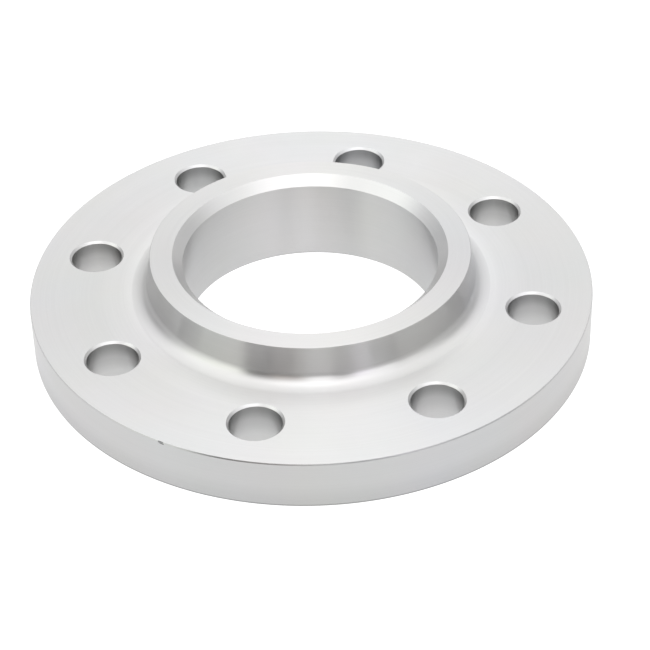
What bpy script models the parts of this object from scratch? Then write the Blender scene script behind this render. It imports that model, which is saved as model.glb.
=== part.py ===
"""Hubbed slip-on pipe flange, EN 1092-1 type 12, DN 80 PN 16.

One steel forging, turned all over and drilled with eight bolt holes. It has no second piece.
Run it with: blender --background --python part.py

Units are metres and +Z is up. The origin is the centre of the raised gasket face, which is the
lowest plane of the flange as it lies on a bench. +Z runs along the bore, towards the hub.
"""

import math

import bpy

MM = 0.001

# Plate: the thickness leaves out the raised face.
OUTER_DIAMETER = 200 * MM
PLATE_THICKNESS = 18 * MM
RIM_EDGE_BREAK = 0.5 * MM

# Raised gasket face, on the underside.
RAISED_FACE_DIAMETER = 138 * MM
RAISED_FACE_HEIGHT = 2 * MM
RAISED_FACE_EDGE_BREAK = 0.3 * MM

# Hub: it tapers from its base, where the fillet is left out of the diameter, to its end face.
HUB_HEIGHT = 14 * MM
HUB_BASE_DIAMETER = 118 * MM
HUB_TOP_DIAMETER = 113.5 * MM
HUB_FILLET_RADIUS = 6 * MM
HUB_EDGE_BREAK = 0.3 * MM
HUB_FILLET_POINTS = 8

# Bore: it takes a pipe of 88.9 mm, and the 45 degree bevel at the hub end holds the weld.
BORE_DIAMETER = 90.5 * MM
WELD_BEVEL = 3.5 * MM
BORE_EDGE_BREAK = 1 * MM

# Bolt holes for M16 bolts. The pattern straddles the X and Y axes, as fitters set flanges up.
BOLT_COUNT = 8
BOLT_CIRCLE_DIAMETER = 160 * MM
BOLT_HOLE_DIAMETER = 18 * MM
BOLT_HOLE_EDGE_BREAK = 0.8 * MM

# Facets round the axis of the flange and of each bolt hole.
FLANGE_STEPS = 128
HOLE_STEPS = 32
# Edges that turn by more than this stay sharp when the flange is shaded.
SHARP_ANGLE = math.radians(25)

# How far a cutter reaches past the faces that it cuts.
CUTTER_OVERRUN = 2 * MM
# Points of a turned shape that lie closer than this are joined.
MERGE_DISTANCE = 0.005 * MM

PLATE_UNDERSIDE = RAISED_FACE_HEIGHT
PLATE_TOP = PLATE_UNDERSIDE + PLATE_THICKNESS
HUB_TOP = PLATE_TOP + HUB_HEIGHT


def clear_scene():
    for obj in list(bpy.data.objects):
        bpy.data.objects.remove(obj, do_unlink=True)


def new_collection(name):
    collection = bpy.data.collections.new(name)
    bpy.context.scene.collection.children.link(collection)
    return collection


def machined_steel():
    """Satin stainless steel as a lathe tool leaves it."""
    material = bpy.data.materials.new("machined_steel")
    material.use_nodes = True
    shader = material.node_tree.nodes["Principled BSDF"]
    shader.inputs["Base Color"].default_value = (0.77, 0.77, 0.76, 1.0)
    shader.inputs["Metallic"].default_value = 1.0
    shader.inputs["Roughness"].default_value = 0.35
    return material


def hub_fillet():
    """The arc that blends the tapered hub wall into the plate, from the wall down to the plate."""
    taper = math.atan2((HUB_BASE_DIAMETER - HUB_TOP_DIAMETER) / 2, HUB_HEIGHT)
    wall_rise = HUB_FILLET_RADIUS * (1 - math.sin(taper))
    wall_radius = HUB_BASE_DIAMETER / 2 - wall_rise * math.tan(taper)
    centre_radius = wall_radius + HUB_FILLET_RADIUS * math.cos(taper)
    centre_height = PLATE_TOP + HUB_FILLET_RADIUS
    start, end = math.pi + taper, 1.5 * math.pi
    points = []
    for i in range(HUB_FILLET_POINTS):
        angle = start + (end - start) * i / (HUB_FILLET_POINTS - 1)
        radius = centre_radius + HUB_FILLET_RADIUS * math.cos(angle)
        height = centre_height + HUB_FILLET_RADIUS * math.sin(angle)
        points.append((radius, height))
    return points


def flange_outline():
    """(radius, height) round the section: hub end, down the outside, underside, up the bore."""
    rim = OUTER_DIAMETER / 2
    hub = HUB_TOP_DIAMETER / 2
    face = RAISED_FACE_DIAMETER / 2
    bore = BORE_DIAMETER / 2
    return [
        (bore + WELD_BEVEL, HUB_TOP),
        (hub - HUB_EDGE_BREAK, HUB_TOP),
        (hub, HUB_TOP - HUB_EDGE_BREAK),
        *hub_fillet(),
        (rim - RIM_EDGE_BREAK, PLATE_TOP),
        (rim, PLATE_TOP - RIM_EDGE_BREAK),
        (rim, PLATE_UNDERSIDE + RIM_EDGE_BREAK),
        (rim - RIM_EDGE_BREAK, PLATE_UNDERSIDE),
        (face, PLATE_UNDERSIDE),
        (face, RAISED_FACE_EDGE_BREAK),
        (face - RAISED_FACE_EDGE_BREAK, 0),
        (bore + BORE_EDGE_BREAK, 0),
        (bore, BORE_EDGE_BREAK),
        (bore, HUB_TOP - WELD_BEVEL),
    ]


def bolt_hole_outline():
    """(radius, height) down one bolt hole cutter, from axis to axis, with both edge breaks."""
    hole = BOLT_HOLE_DIAMETER / 2
    flare = hole + BOLT_HOLE_EDGE_BREAK + CUTTER_OVERRUN
    return [
        (0, PLATE_TOP + CUTTER_OVERRUN),
        (flare, PLATE_TOP + CUTTER_OVERRUN),
        (hole, PLATE_TOP - BOLT_HOLE_EDGE_BREAK),
        (hole, PLATE_UNDERSIDE + BOLT_HOLE_EDGE_BREAK),
        (flare, PLATE_UNDERSIDE - CUTTER_OVERRUN),
        (0, PLATE_UNDERSIDE - CUTTER_OVERRUN),
    ]


def turned(name, mesh, steps, collection):
    """An object whose mesh is an outline in the XZ plane, turned a full circle round Z."""
    obj = bpy.data.objects.new(name, mesh)
    collection.objects.link(obj)
    screw = obj.modifiers.new("turn", "SCREW")
    screw.steps = steps
    screw.render_steps = steps
    screw.use_merge_vertices = True
    screw.merge_threshold = MERGE_DISTANCE
    return obj


def outline_mesh(name, outline, closed):
    mesh = bpy.data.meshes.new(name)
    edges = [(i, i + 1) for i in range(len(outline) - 1)]
    if closed:
        edges.append((len(outline) - 1, 0))
    mesh.from_pydata([(radius, 0, height) for radius, height in outline], edges, [])
    return mesh


def bolt_hole_cutters(collection):
    """One cutter for each bolt hole, half a pitch off the X axis and evenly spaced."""
    mesh = outline_mesh("bolt_hole_cutter", bolt_hole_outline(), closed=False)
    pitch = 2 * math.pi / BOLT_COUNT
    for i in range(BOLT_COUNT):
        angle = (i + 0.5) * pitch
        cutter = turned(f"bolt_hole_cutter_{i + 1}", mesh, HOLE_STEPS, collection)
        cutter.location.x = BOLT_CIRCLE_DIAMETER / 2 * math.cos(angle)
        cutter.location.y = BOLT_CIRCLE_DIAMETER / 2 * math.sin(angle)
        cutter.hide_render = True
        cutter.display_type = "WIRE"


def apply_modifiers(obj):
    """The object's mesh becomes what its modifiers make, shaded smooth between its sharp edges."""
    graph = bpy.context.evaluated_depsgraph_get()
    obj.data = bpy.data.meshes.new_from_object(obj.evaluated_get(graph))
    obj.modifiers.clear()
    obj.data.shade_smooth()
    obj.data.set_sharp_from_angle(angle=SHARP_ANGLE)


def flange(collection, cutters):
    """The forging: a turned section, then the bolt holes."""
    mesh = outline_mesh("flange_section", flange_outline(), closed=True)
    obj = turned("flange", mesh, FLANGE_STEPS, collection)
    drill = obj.modifiers.new("bolt_holes", "BOOLEAN")
    drill.operation = "DIFFERENCE"
    drill.operand_type = "COLLECTION"
    drill.collection = cutters
    apply_modifiers(obj)
    obj.data.name = "flange"
    obj.data.materials.append(machined_steel())
    return obj


def main():
    clear_scene()
    parts = new_collection("slip_on_flange")
    cutters = new_collection("cutters")
    bolt_hole_cutters(cutters)
    flange(parts, cutters)


main()
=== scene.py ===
"""Looks of a hubbed slip-on pipe flange: one turned and drilled steel forging, lying on its gasket face.

Lengths are in metres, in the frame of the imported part: the origin is the centre of the gasket face,
+Z runs along the bore, towards the hub.
"""

import math

import bmesh
import bpy
from mathutils import Matrix, Vector


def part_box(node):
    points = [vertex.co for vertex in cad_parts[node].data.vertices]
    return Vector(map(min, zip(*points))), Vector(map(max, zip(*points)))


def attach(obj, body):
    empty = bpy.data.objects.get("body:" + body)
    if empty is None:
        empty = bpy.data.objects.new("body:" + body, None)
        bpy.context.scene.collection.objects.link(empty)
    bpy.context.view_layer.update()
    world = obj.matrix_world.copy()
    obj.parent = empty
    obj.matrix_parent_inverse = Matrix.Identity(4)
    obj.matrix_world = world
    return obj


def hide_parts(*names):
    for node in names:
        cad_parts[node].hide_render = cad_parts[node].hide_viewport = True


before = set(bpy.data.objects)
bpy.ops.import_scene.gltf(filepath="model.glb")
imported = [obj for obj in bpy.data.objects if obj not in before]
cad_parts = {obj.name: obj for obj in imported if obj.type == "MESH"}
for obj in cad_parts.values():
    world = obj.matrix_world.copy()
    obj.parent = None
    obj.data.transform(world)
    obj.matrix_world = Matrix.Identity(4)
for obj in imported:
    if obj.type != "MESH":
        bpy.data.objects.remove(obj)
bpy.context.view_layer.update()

MM = 0.001

# ---------------------------------------------------------------------------------------------
# Sizes. The outside ones come from the frame; the rest follow the standard flange.
# ---------------------------------------------------------------------------------------------
LOW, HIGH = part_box("flange")
RIM_RADIUS = HIGH.x
HUB_END = HIGH.z
RAISED_FACE = 2 * MM
PLATE_TOP = RAISED_FACE + 18 * MM
RAISED_FACE_RADIUS = 69 * MM
BORE_RADIUS = 45.25 * MM
WELD_BEVEL = 3.5 * MM
BORE_CHAMFER = 1 * MM
HUB_TOP_RADIUS = 56.75 * MM
HUB_BASE_RADIUS = 59 * MM
HUB_FILLET = 6 * MM
HUB_EDGE = 0.3 * MM
# The rim's upper edge was dressed with a file: it slopes in by the first size over the second.
FILED_IN = 0.25 * MM
FILED_DOWN = 0.5 * MM
RIM_LOWER_EDGE = 0.5 * MM
BOLT_CIRCLE_RADIUS = 80 * MM
BOLT_RADIUS = 9 * MM
BOLT_EDGE_BREAK = 0.8 * MM
BOLT_COUNT = 8
# How far the small corners are rounded. Where there are two, the first is the higher or outer one.
BEVEL_CORNER = 0.15 * MM
FILED_CORNERS = (0.15 * MM, 0.2 * MM)
RAISED_FACE_ROOT = 0.4 * MM
RAISED_FACE_EDGE = 0.3 * MM
BORE_CHAMFER_CORNERS = (0.1 * MM, 0.2 * MM)
BOLT_CORNER = 0.25 * MM

# ---------------------------------------------------------------------------------------------
# The camera's place: where a person standing by the bench looks from.
# ---------------------------------------------------------------------------------------------
VIEW_AZIMUTH = math.radians(-8.204)
VIEW_ELEVATION = math.radians(36.148)
VIEW_DISTANCE = 0.8229
# The camera turns about a point this far under the plate's top, level with the rim's dressed edge.
VIEW_DROP = 0.4 * MM
VIEW_PAN = math.radians(0.314)
VIEW_TILT = math.radians(-1.065)
VIEW_ROLL = math.radians(-1.794)
LENS_MM = 127.7
SENSOR_MM = 36
NEAREST_SEEN = 0.05
FARTHEST_SEEN = 60


def direction(azimuth, elevation):
    """Unit vector from the object to a point at that azimuth and elevation; azimuth 0 is -Y."""
    flat = math.cos(elevation)
    return Vector((math.sin(azimuth) * flat, -math.cos(azimuth) * flat, math.sin(elevation)))


def make_camera():
    data = bpy.data.cameras.new("camera")
    data.lens = LENS_MM
    data.sensor_width = SENSOR_MM
    data.clip_start = NEAREST_SEEN
    data.clip_end = FARTHEST_SEEN
    camera = bpy.data.objects.new("camera", data)
    bpy.context.scene.collection.objects.link(camera)
    back = direction(VIEW_AZIMUTH, VIEW_ELEVATION)
    aim = (-back).to_track_quat("-Z", "Y").to_matrix().to_4x4()
    pan = Matrix.Rotation(-VIEW_PAN, 4, "Y")
    tilt = Matrix.Rotation(VIEW_TILT, 4, "X")
    roll = Matrix.Rotation(VIEW_ROLL, 4, "Z")
    centre = Vector((0, 0, PLATE_TOP - VIEW_DROP))
    camera.matrix_world = Matrix.Translation(centre + back * VIEW_DISTANCE) @ aim @ pan @ tilt @ roll
    bpy.context.scene.camera = camera


# ---------------------------------------------------------------------------------------------
# The flange's shape
# ---------------------------------------------------------------------------------------------
FLANGE_STEPS = 320
HOLE_STEPS = 96
# Points of a turned shape that lie closer than this are joined.
MERGE_DISTANCE = 0.001 * MM
# How far a bolt hole's cutter reaches past the plate.
CUTTER_OVERRUN = 1 * MM
# Edges that turn by more than this stay sharp when the flange is shaded.
SHARP_ANGLE = math.radians(28)
# The highest weight: large flat faces decide how the narrow ones beside them are shaded.
FACE_AREA_WEIGHT = 100

# The gasket face's grooves keep these distances from its outer edge and from the bore's chamfer. Each
# has its bottom and its inner side at these shares of the pitch, and then a flat.
GROOVE_PITCH = 0.8 * MM
GROOVE_DEPTH = 0.05 * MM
GROOVES_FROM_EDGE = 1.0 * MM
GROOVES_FROM_BORE = 0.8 * MM
GROOVE_BOTTOM = 0.35
GROOVE_SIDE = 0.7

# The one nick in the rim's upper edge: where it is, its half size along the rim, into it and up, and
# how much it slants.
NICK_AZIMUTH = math.radians(-128.7)
NICK_HALF_SIZE = (1.2 * MM, 0.5 * MM, 0.4 * MM)
NICK_SLANT = math.radians(8)


def arc_corner(before, corner, after, radius, segments):
    """Points of the arc of that radius that is tangent to both sides of a corner."""
    before, corner, after = (Vector((*p, 0)) for p in (before, corner, after))
    into, out = (corner - before).normalized(), (after - corner).normalized()
    turn = into.angle(out)
    reach = radius * math.tan(turn / 2)
    side = (out - into).normalized()
    centre = corner + side * (radius / math.cos(turn / 2))
    first = (corner - into * reach - centre).normalized()
    last = (corner + out * reach - centre).normalized()
    points = []
    for i in range(segments + 1):
        point = centre + first.slerp(last, i / segments) * radius
        points.append((point.x, point.y))
    return points


def rounded(corners):
    """Outline of (radius, height) points from corners of (radius, height, corner radius, segments)."""
    points = []
    for i, (r, z, radius, segments) in enumerate(corners):
        if not radius:
            points.append((r, z))
            continue
        before = corners[i - 1][:2]
        after = corners[(i + 1) % len(corners)][:2]
        points += arc_corner(before, (r, z), after, radius, segments)
    return points


def gasket_grooves():
    """The shallow V grooves that a pointed tool turns in the gasket face, from outside to inside."""
    outer = RAISED_FACE_RADIUS - GROOVES_FROM_EDGE
    inner = BORE_RADIUS + BORE_CHAMFER + GROOVES_FROM_BORE
    count = int((outer - inner) / GROOVE_PITCH)
    points = []
    for i in range(count):
        r = outer - i * GROOVE_PITCH
        points.append((r, 0, 0, 0))
        points.append((r - GROOVE_BOTTOM * GROOVE_PITCH, GROOVE_DEPTH, 0, 0))
        points.append((r - GROOVE_SIDE * GROOVE_PITCH, 0, 0, 0))
    return points


def flange_outline():
    """Round the section from the hub's end face, down the outside, along the underside, up the bore."""
    return rounded([
        (BORE_RADIUS + WELD_BEVEL, HUB_END, BEVEL_CORNER, 3),
        (HUB_TOP_RADIUS, HUB_END, HUB_EDGE, 5),
        (HUB_BASE_RADIUS, PLATE_TOP, HUB_FILLET, 28),
        (RIM_RADIUS - FILED_IN, PLATE_TOP, FILED_CORNERS[0], 4),
        (RIM_RADIUS, PLATE_TOP - FILED_DOWN, FILED_CORNERS[1], 3),
        (RIM_RADIUS, RAISED_FACE, RIM_LOWER_EDGE, 6),
        (RAISED_FACE_RADIUS, RAISED_FACE, RAISED_FACE_ROOT, 4),
        (RAISED_FACE_RADIUS, 0, RAISED_FACE_EDGE, 4),
        *gasket_grooves(),
        (BORE_RADIUS + BORE_CHAMFER, 0, BORE_CHAMFER_CORNERS[0], 2),
        (BORE_RADIUS, BORE_CHAMFER, BORE_CHAMFER_CORNERS[1], 3),
        (BORE_RADIUS, HUB_END - WELD_BEVEL, BEVEL_CORNER, 3),
    ])


def hole_outline():
    """Down one bolt hole's cutter, from axis to axis. Its flared ends leave the rounded edge breaks."""
    flare = BOLT_RADIUS + BOLT_EDGE_BREAK + CUTTER_OVERRUN
    return rounded([
        (0, PLATE_TOP + CUTTER_OVERRUN, 0, 0),
        (flare, PLATE_TOP + CUTTER_OVERRUN, 0, 0),
        (BOLT_RADIUS, PLATE_TOP - BOLT_EDGE_BREAK, BOLT_CORNER, 3),
        (BOLT_RADIUS, RAISED_FACE + BOLT_EDGE_BREAK, BOLT_CORNER, 3),
        (flare, RAISED_FACE - CUTTER_OVERRUN, 0, 0),
        (0, RAISED_FACE - CUTTER_OVERRUN, 0, 0),
    ])


def turned(name, outline, steps, closed):
    """An object whose mesh is an outline of (radius, height) points, turned a full circle round Z."""
    mesh = bpy.data.meshes.new(name)
    edges = [(i, i + 1) for i in range(len(outline) - 1)]
    if closed:
        edges.append((len(outline) - 1, 0))
    mesh.from_pydata([(r, 0, z) for r, z in outline], edges, [])
    obj = bpy.data.objects.new(name, mesh)
    bpy.context.scene.collection.objects.link(obj)
    screw = obj.modifiers.new("turn", "SCREW")
    screw.steps = steps
    screw.render_steps = steps
    screw.use_merge_vertices = True
    screw.merge_threshold = MERGE_DISTANCE
    return obj


def apply_modifiers(obj):
    graph = bpy.context.evaluated_depsgraph_get()
    mesh = bpy.data.meshes.new_from_object(obj.evaluated_get(graph), depsgraph=graph)
    obj.modifiers.clear()
    obj.data = mesh


def nick_middle():
    """A point on the rim, at the lower end of its filed edge."""
    at = Vector((math.cos(NICK_AZIMUTH), math.sin(NICK_AZIMUTH), 0)) * RIM_RADIUS
    at.z = PLATE_TOP - FILED_DOWN
    return at


def nick_cutter(collection):
    """A sliver that bites into the rim's upper edge, where the flange was once knocked."""
    mesh = bpy.data.meshes.new("nick_cutter")
    shape = bmesh.new()
    bmesh.ops.create_icosphere(shape, subdivisions=3, radius=1)
    shape.to_mesh(mesh)
    shape.free()
    cutter = bpy.data.objects.new("nick_cutter", mesh)
    collection.objects.link(cutter)
    cutter.scale = NICK_HALF_SIZE
    cutter.rotation_euler = (0, NICK_SLANT, NICK_AZIMUTH + math.pi / 2)
    cutter.location = nick_middle()
    return cutter


def flange_shape():
    obj = turned("flange_forging", flange_outline(), FLANGE_STEPS, closed=True)
    cutters = bpy.data.collections.new("cutters")
    bpy.context.scene.collection.children.link(cutters)
    made = []
    for i in range(BOLT_COUNT):
        angle = (i + 0.5) * math.tau / BOLT_COUNT
        cutter = turned(f"cutter_{i}", hole_outline(), HOLE_STEPS, closed=False)
        bpy.context.scene.collection.objects.unlink(cutter)
        cutters.objects.link(cutter)
        cutter.location = (BOLT_CIRCLE_RADIUS * math.cos(angle), BOLT_CIRCLE_RADIUS * math.sin(angle), 0)
        made.append(cutter)
    made.append(nick_cutter(cutters))
    drill = obj.modifiers.new("drill", "BOOLEAN")
    drill.solver = "MANIFOLD"
    drill.operand_type = "COLLECTION"
    drill.collection = cutters
    apply_modifiers(obj)
    for cutter in made:
        bpy.data.objects.remove(cutter)
    bpy.data.collections.remove(cutters)
    obj.data.shade_smooth()
    obj.data.set_sharp_from_angle(angle=SHARP_ANGLE)
    weights = obj.modifiers.new("flat_faces_stay_flat", "WEIGHTED_NORMAL")
    weights.keep_sharp = True
    weights.weight = FACE_AREA_WEIGHT
    apply_modifiers(obj)
    return obj


# ---------------------------------------------------------------------------------------------
# Steel
# ---------------------------------------------------------------------------------------------
STEEL = (0.65, 0.648, 0.648)
# A quarter turn: a highlight on turned metal spreads across the tool marks, not along them.
ACROSS = 0.25
# How strong the finer layers of each noise are.
NOISE_ROUGHNESS = 0.6
# Fine marks that the tool leaves.
MARKS_PER_METRE = 1400
MARK_DEPTH = 0.01 * MM
# Broader rings, where the tool wore and was set again.
RINGS_PER_METRE = 180
# Cloudy patches some 20 mm across, and in a bolt hole slightly smaller ones round its wall.
CLOUDS_PER_METRE = 45
HOLE_PATCHES_PER_METRE = 60
# How much more the marks follow height than radius, so that walls have their own, and how much they
# change once round the axis.
HEIGHT_IN_MARKS = 1.7
DRIFT_IN_MARKS = 0.9
# How far each of them moves the brightness and the roughness, up and down.
CLOUDS_IN_BRIGHTNESS = 0.015
RINGS_IN_BRIGHTNESS = 0.012
MARKS_IN_BRIGHTNESS = 0.015
CLOUDS_IN_ROUGHNESS = 0.015
RINGS_IN_ROUGHNESS = 0.02
# A faint tint in red, green and blue, from its own part of the noise.
TINT = (0.03, 0.02, 0.04)
TINT_PLACE = (3, 5, 7)


class Nodes:
    """Adds shader nodes to a tree. An input is a number, a tuple, or another node's output."""

    def __init__(self, tree):
        self.tree = tree

    def add(self, kind, inputs=(), output=0, **settings):
        node = self.tree.nodes.new(kind)
        for name, value in settings.items():
            setattr(node, name, value)
        for socket, value in dict(inputs).items():
            self.put(node.inputs[socket], value)
        return node.outputs[output]

    def put(self, socket, value):
        if isinstance(value, bpy.types.NodeSocket):
            self.tree.links.new(value, socket)
        else:
            socket.default_value = value

    def maths(self, operation, a, b=0.0):
        return self.add("ShaderNodeMath", {0: a, 1: b}, operation=operation)

    def vector(self, operation, a, b=(0, 0, 0), output="Vector"):
        return self.add("ShaderNodeVectorMath", {0: a, 1: b}, output, operation=operation)

    def scaled(self, vector, factor):
        return self.add("ShaderNodeVectorMath", {0: vector, "Scale": factor}, "Vector", operation="SCALE")

    def join(self, x, y, z):
        return self.add("ShaderNodeCombineXYZ", {"X": x, "Y": y, "Z": z})

    def split(self, place):
        """The outputs X, Y and Z of a vector."""
        node = self.tree.nodes.new("ShaderNodeSeparateXYZ")
        self.put(node.inputs[0], place)
        return node.outputs

    def blend(self, factor, first, second):
        """Mixes two colours. A mix node has them at inputs 6 and 7, and the result at output 2."""
        return self.add("ShaderNodeMix", {0: factor, 6: first, 7: second}, 2, data_type="RGBA")

    def noise(self, place, scale, detail, output="Fac"):
        values = {"Vector": place, "Scale": scale, "Detail": detail, "Roughness": NOISE_ROUGHNESS}
        return self.add("ShaderNodeTexNoise", values, output)

    def spread(self, value, reach, middle=0.0):
        """Maps a noise value, which lies mostly in 0.3 to 0.7, to that reach each way from the middle."""
        limits = {"Value": value, "From Min": 0.3, "From Max": 0.7}
        limits.update({"To Min": middle - reach, "To Max": middle + reach})
        return self.add("ShaderNodeMapRange", limits)


def turned_marks(nodes, place, per_metre):
    """Noise that runs round the flange's axis in rings, and hardly changes along them."""
    axes = nodes.split(place)
    flat = nodes.join(axes["X"], axes["Y"], 0.0)
    radius = nodes.vector("LENGTH", flat, output="Value")
    round_axis = nodes.vector("NORMALIZE", flat)
    raised = nodes.maths("MULTIPLY", axes["Z"], HEIGHT_IN_MARKS)
    ring = nodes.maths("MULTIPLY", nodes.maths("ADD", radius, raised), per_metre)
    drift = nodes.vector("MULTIPLY", round_axis, (DRIFT_IN_MARKS, DRIFT_IN_MARKS, 0))
    return nodes.noise(nodes.vector("ADD", drift, nodes.join(0.0, 0.0, ring)), scale=1.0, detail=3.0)


def drilled_marks(nodes, place, per_metre):
    """Noise that runs round each bolt hole in level rings."""
    stretch = (HOLE_PATCHES_PER_METRE, HOLE_PATCHES_PER_METRE, per_metre)
    return nodes.noise(nodes.vector("MULTIPLY", place, stretch), scale=1.0, detail=3.0)


def graded(nodes, distance, look):
    """A look's value: itself, or where it has pairs, a node that follows a distance on the flange."""
    if not isinstance(look, tuple):
        return look
    total = look[0][1]
    for (low, before), (high, after) in zip(look, look[1:]):
        limits = {
            "Value": distance,
            "From Min": low * MM,
            "From Max": high * MM,
            "To Min": 0.0,
            "To Max": after - before,
        }
        step = nodes.add("ShaderNodeMapRange", limits, interpolation_type="SMOOTHSTEP")
        total = nodes.maths("ADD", step, total)
    return total


def distance_on_flange(nodes, place, outwards):
    """The distance out from the flange's axis, or else the height above the plate."""
    if outwards:
        flat = nodes.vector("MULTIPLY", place, (1, 1, 0))
        return nodes.vector("LENGTH", flat, output="Value")
    return nodes.maths("SUBTRACT", nodes.split(place)["Z"], PLATE_TOP)


def steel(name, roughness, anisotropic, brightness=1.0, outwards=False, drilled=False):
    """Machined stainless steel, with tool marks that catch the light across their length."""
    material = bpy.data.materials.new(name)
    material.use_nodes = True
    tree = material.node_tree
    nodes = Nodes(tree)
    shader = tree.nodes["Principled BSDF"].inputs
    place = nodes.add("ShaderNodeTexCoord", output="Object")
    distance = distance_on_flange(nodes, place, outwards)
    tool_noise = drilled_marks if drilled else turned_marks
    marks = tool_noise(nodes, place, MARKS_PER_METRE)
    rings = tool_noise(nodes, place, RINGS_PER_METRE)
    clouds = nodes.noise(place, CLOUDS_PER_METRE, detail=4.0)
    cloudy = nodes.spread(clouds, CLOUDS_IN_BRIGHTNESS)
    mottle = nodes.maths("ADD", cloudy, nodes.spread(rings, RINGS_IN_BRIGHTNESS))
    grain = nodes.maths("ADD", mottle, nodes.spread(marks, MARKS_IN_BRIGHTNESS, middle=1.0))
    # The random tone times the look's brightness, which paints light and shade into the colour: lighter and
    # darker copies of one steel in place of how the light falls.
    tone_and_painted_light = nodes.maths("MULTIPLY", grain, graded(nodes, distance, brightness))
    elsewhere = nodes.vector("ADD", place, TINT_PLACE)
    hue = nodes.noise(elsewhere, CLOUDS_PER_METRE / 2, detail=2.0, output="Color")
    tint = nodes.vector("MULTIPLY", nodes.vector("SUBTRACT", hue, (0.5, 0.5, 0.5)), TINT)
    nodes.put(shader["Base Color"], nodes.vector("ADD", nodes.scaled(STEEL, tone_and_painted_light), tint))
    patches = nodes.spread(clouds, CLOUDS_IN_ROUGHNESS)
    patchy = nodes.maths("ADD", patches, nodes.spread(rings, RINGS_IN_ROUGHNESS))
    nodes.put(shader["Roughness"], nodes.maths("ADD", patchy, graded(nodes, distance, roughness)))
    shader["Metallic"].default_value = 1
    shader["Anisotropic"].default_value = anisotropic
    shader["Anisotropic Rotation"].default_value = ACROSS
    bump = {"Strength": 1.0, "Distance": MARK_DEPTH, "Height": marks}
    nodes.put(shader["Normal"], nodes.add("ShaderNodeBump", bump))
    if drilled:
        normal = nodes.add("ShaderNodeNewGeometry", output="Normal")
        nodes.put(shader["Tangent"], nodes.vector("CROSS_PRODUCT", (0, 0, 1), normal))
    else:
        nodes.put(shader["Tangent"], nodes.add("ShaderNodeTangent", direction_type="RADIAL", axis="Z"))
    return material


# Where a look has pairs, they are (millimetres, value), and it changes with the height above the plate,
# or on the plate itself with the distance outwards from the axis.
REGIONS = {
    "faced": {"roughness": 0.44, "anisotropic": 0.7},
    "plate": {
        "roughness": 0.44,
        "anisotropic": 0.7,
        # Painted highlight: the plate's colour is lighter near the hub, fading to the plain steel by 78 mm
        # out.
        "brightness": ((64, 1.13), (69, 1.05), (78, 1.0)),
        "outwards": True,
    },
    # Painted shade: the hub's wall is a darker copy of the same steel.
    "hub_wall": {"roughness": 0.3, "anisotropic": 1.0, "brightness": 0.75},
    "fillet": {
        "roughness": ((0, 0.44), (2.2, 0.32), (3.6, 0.3), (4.8, 0.33)),
        "anisotropic": 0.8,
        # Painted highlight and shade: the fillet's colour is lighter at its foot and darker towards the
        # hub's wall.
        "brightness": ((1.0, 1.1), (2.6, 0.92), (4.8, 0.73)),
    },
    # Painted shade in the bore, which is a little darker, and a painted highlight on the weld bevel, which
    # is a little lighter.
    "bore": {"roughness": 0.38, "anisotropic": 0.95, "brightness": 0.91},
    "bevel": {"roughness": 0.36, "anisotropic": 0.6, "brightness": 1.08},
    # Painted shade: the rim is darker than the plate and darker still towards the floor, with a thin dark
    # line of painted contact shadow just above its lower edge.
    "rim": {"roughness": 0.42, "anisotropic": 0.5, "brightness": ((-17.5, 0.4), (-17.1, 0.74), (-8, 0.82))},
    # Painted shade: the rounded upper edge is darker, and the lower edge by the floor is a dark line of
    # painted contact shadow.
    "upper_edge": {"roughness": 0.3, "anisotropic": 0.3, "brightness": 0.8},
    "lower_edge": {"roughness": 0.4, "anisotropic": 0.3, "brightness": 0.38},
    "nick": {"roughness": 0.5, "anisotropic": 0.0, "brightness": 0.5},
    # Painted highlight: the countersinks are a lighter copy of the steel.
    "countersink": {"roughness": 0.36, "anisotropic": 0.5, "brightness": 1.05, "drilled": True},
    "drilled": {
        "roughness": 0.34,
        "anisotropic": 0.8,
        # Painted shade: the bolt holes' walls are darker than the plate, and darker still towards their
        # top.
        "brightness": ((-13, 0.9), (-7, 0.8), (-2, 0.57)),
        "drilled": True,
    },
}


# How near a face's middle is to the plate's top, to a wall, or to the rim where the nick has cut it.
ON_PLATE = 0.01 * MM
ON_WALL = 0.05 * MM
OFF_RIM = 0.03 * MM
# The greatest slope of each surface: how upright a face's normal is, 0 on a wall and 1 on a level face.
RIM_SLOPE = 0.05
DRILLED_SLOPE = 0.2
HUB_WALL_SLOPE = 0.9
COUNTERSINK_SLOPE = 0.98
NICK_SLOPE = 0.99
RIM_EDGE_SLOPE = 0.999
# The hub's wall starts at this share of its fillet's height.
WALL_START = 0.8


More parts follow.
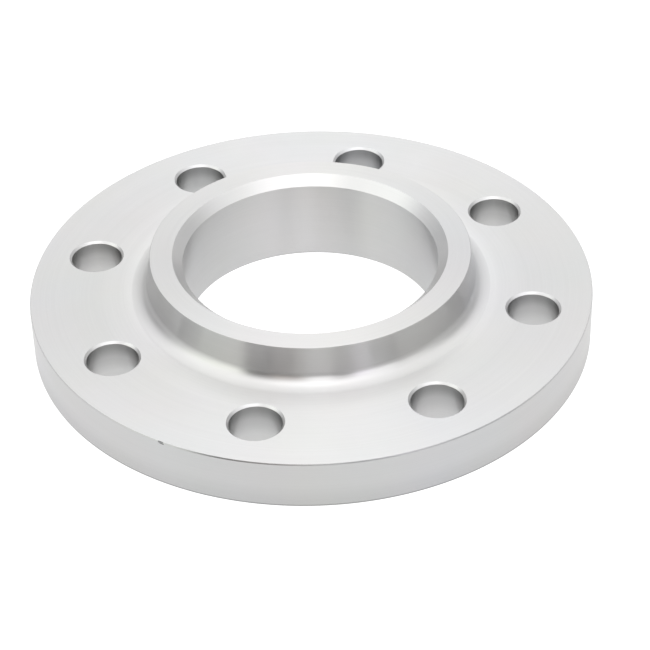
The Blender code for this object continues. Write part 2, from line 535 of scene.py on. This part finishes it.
def region(point, normal):
    """Which machined surface of the flange a face belongs to, from its middle and its normal."""
    slope = abs(normal.z)
    radius = math.hypot(point.x, point.y)
    pitch = math.tau / BOLT_COUNT
    turn = math.atan2(point.y, point.x) % pitch - pitch / 2
    from_hole = math.hypot(radius * math.cos(turn) - BOLT_CIRCLE_RADIUS, radius * math.sin(turn))
    if from_hole < BOLT_RADIUS + BOLT_EDGE_BREAK and slope < COUNTERSINK_SLOPE:
        return "drilled" if slope < DRILLED_SLOPE else "countersink"
    beside_nick = (point - nick_middle()).length < NICK_HALF_SIZE[0]
    if beside_nick and radius < RIM_RADIUS - OFF_RIM and slope < NICK_SLOPE:
        return "nick"
    if radius < BORE_RADIUS + ON_WALL:
        return "bore"
    if radius > RIM_RADIUS - ON_WALL and slope < RIM_SLOPE:
        return "rim"
    # The rim's edge roundings get the painted shade of the edge looks; the lower one is painted contact
    # shadow.
    if radius > RIM_RADIUS - RIM_LOWER_EDGE and slope < RIM_EDGE_SLOPE:
        return "upper_edge" if normal.z > 0 else "lower_edge"
    # The bore chamfer's lower edge is also a dark line of painted shade.
    if radius < BORE_RADIUS + BORE_CHAMFER and point.z < BORE_CHAMFER:
        return "lower_edge"
    if radius < BORE_RADIUS + WELD_BEVEL and point.z > HUB_END - WELD_BEVEL:
        return "bevel"
    if point.z > PLATE_TOP + HUB_FILLET * WALL_START and slope < HUB_WALL_SLOPE:
        return "hub_wall"
    if PLATE_TOP + ON_PLATE < point.z < PLATE_TOP + HUB_FILLET:
        return "fillet"
    if abs(point.z - PLATE_TOP) < ON_PLATE:
        return "plate"
    return "faced"


def finish_steel(forging):
    names = list(REGIONS)
    forging.data.materials.clear()
    for name, look in REGIONS.items():
        forging.data.materials.append(steel(name, **look))
    for face in forging.data.polygons:
        face.material_index = names.index(region(face.center, face.normal))


# ---------------------------------------------------------------------------------------------
# Studio
# ---------------------------------------------------------------------------------------------
# The floor is a sheet of milky acrylic with lamps under it, as product photographers use.
FLOOR_GLOW = 1.1
FLOOR_GREY = 0.1
FLOOR_ROUGHNESS = 0.9
FLOOR_REACH = 8
# The floor lies this far under the flange, so that no face of one is in a face of the other.
FLOOR_GAP = 0.02 * MM

# The room's light as bands, one above the other. Each starts at a height in degrees, and its stops
# go round the room: degrees from the camera's side, positive to its right, brightness, and a tint.
# BRIGHTEST is above every stop's brightness times its tint, because a ramp's colours end at 1.
BRIGHTEST = 3.0
BACKDROP = (1 / BRIGHTEST, 1 / BRIGHTEST, 1 / BRIGHTEST, 1)
# Degrees over which a band fades into the next, each way from where that one starts.
BAND_BLUR = 4
PLAIN = (1, 1, 1)
GREENISH = (0.98, 1.0, 0.94)
BROWN = (1.12, 1.0, 0.92)
LILAC = (0.99, 0.95, 1.05)
LOW_WALLS = (
    (-180, 0.65, PLAIN), (-150, 0.75, PLAIN), (-130, 0.35, PLAIN), (-110, 0.4, PLAIN), (-90, 0.9, PLAIN),
    (-70, 1.1, GREENISH), (-46, 1.1, GREENISH), (-42, 0.02, BROWN), (20, 0.02, PLAIN), (26, 0.45, PLAIN),
    (60, 0.45, PLAIN), (75, 0.6, PLAIN), (110, 0.58, PLAIN), (125, 0.5, PLAIN), (145, 0.75, PLAIN),
    (180, 0.65, PLAIN),
)
HIGH_WALLS = (
    (-180, 0.7, PLAIN), (-150, 0.9, PLAIN), (-110, 0.75, PLAIN), (-100, 1.0, PLAIN), (-85, 1.7, GREENISH),
    (-46, 2.05, GREENISH), (-45, 0.0, BROWN), (-28, 0.0, BROWN), (-26, 0.85, BROWN), (-6, 0.65, BROWN),
    (-5, 2.3, PLAIN), (11, 2.3, PLAIN), (13, 0.85, PLAIN), (26, 0.85, PLAIN), (28, 2.4, LILAC),
    (36, 2.4, LILAC), (38, 2.1, PLAIN), (54, 2.1, PLAIN), (58, 0.7, PLAIN), (62, 1.7, PLAIN),
    (75, 1.4, PLAIN), (102, 0.65, PLAIN), (120, 0.6, PLAIN), (155, 1.1, PLAIN), (180, 0.7, PLAIN),
)
SOFTBOXES = (
    (-180, 1.85, PLAIN), (-155, 1.35, PLAIN), (-110, 1.4, PLAIN), (-80, 1.15, PLAIN), (-40, 1.4, PLAIN),
    (0, 1.55, PLAIN), (30, 1.45, PLAIN), (75, 1.0, PLAIN), (100, 1.05, PLAIN), (125, 1.45, PLAIN),
    (155, 1.45, PLAIN), (180, 1.85, PLAIN),
)
CEILING = (
    (-180, 2.6, PLAIN), (-140, 1.7, PLAIN), (-100, 1.15, PLAIN), (-60, 1.7, PLAIN), (-25, 2.4, PLAIN),
    (20, 2.4, PLAIN), (50, 1.7, PLAIN), (100, 1.15, PLAIN), (140, 1.5, PLAIN), (180, 2.6, PLAIN),
)
OVERHEAD = ((-180, 1.1, PLAIN), (180, 1.1, PLAIN))
BANDS = ((0, LOW_WALLS), (16, HIGH_WALLS), (36, SOFTBOXES), (60, CEILING), (75, OVERHEAD))


def make_floor():
    mesh = bpy.data.meshes.new("floor")
    shape = bmesh.new()
    bmesh.ops.create_grid(shape, x_segments=1, y_segments=1, size=FLOOR_REACH)
    shape.to_mesh(mesh)
    shape.free()
    floor = bpy.data.objects.new("floor", mesh)
    floor.location.z = LOW.z - FLOOR_GAP
    bpy.context.scene.collection.objects.link(floor)
    material = bpy.data.materials.new("floor")
    material.use_nodes = True
    shader = material.node_tree.nodes["Principled BSDF"]
    shader.inputs["Base Color"].default_value = (FLOOR_GREY, FLOOR_GREY, FLOOR_GREY, 1)
    shader.inputs["Roughness"].default_value = FLOOR_ROUGHNESS
    shader.inputs["Specular IOR Level"].default_value = 0
    shader.inputs["Emission Color"].default_value = (1, 1, 1, 1)
    shader.inputs["Emission Strength"].default_value = FLOOR_GLOW
    mesh.materials.append(material)


def room_band(nodes, turn, stops):
    """The light of one band, for a turn of 0 to 1 that starts and ends opposite the camera."""
    node = nodes.tree.nodes.new("ShaderNodeValToRGB")
    nodes.put(node.inputs["Fac"], turn)
    elements = node.color_ramp.elements
    elements.remove(elements[-1])
    for i, (degrees, brightness, tint) in enumerate(stops):
        element = elements[0] if i == 0 else elements.new(1)
        element.position = (degrees + 180) / 360
        element.color = (*(brightness / BRIGHTEST * channel for channel in tint), 1)
    return node.outputs["Color"]


def make_room():
    """The light that reaches the flange: bands of the room, one above the other."""
    world = bpy.data.worlds.new("studio")
    world.use_nodes = True
    nodes = Nodes(world.node_tree)
    axes = nodes.split(nodes.add("ShaderNodeTexCoord", output="Generated"))
    from_front = nodes.maths("ARCTAN2", axes["X"], nodes.maths("MULTIPLY", axes["Y"], -1.0))
    turn = nodes.maths("DIVIDE", nodes.maths("SUBTRACT", from_front, VIEW_AZIMUTH), math.tau)
    turn = nodes.maths("FRACT", nodes.maths("ADD", turn, 0.5))
    height = nodes.maths("DEGREES", nodes.maths("ARCSINE", axes["Z"]))
    light = room_band(nodes, turn, BANDS[0][1])
    for start, stops in BANDS[1:]:
        limits = {"Value": height, "From Min": start - BAND_BLUR, "From Max": start + BAND_BLUR}
        above = nodes.add("ShaderNodeMapRange", limits, interpolation_type="SMOOTHSTEP")
        light = nodes.blend(above, light, room_band(nodes, turn, stops))
    # The camera itself sees a plain white backdrop.
    seen = nodes.add("ShaderNodeLightPath", output="Is Camera Ray")
    light = nodes.blend(seen, light, BACKDROP)
    background = nodes.tree.nodes["Background"].inputs
    nodes.put(background["Color"], light)
    background["Strength"].default_value = BRIGHTEST
    bpy.context.scene.world = world


def main():
    bpy.context.scene.view_settings.view_transform = "Standard"
    make_camera()
    forging = flange_shape()
    finish_steel(forging)
    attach(forging, "root")
    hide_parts("flange")
    make_floor()
    make_room()


main()
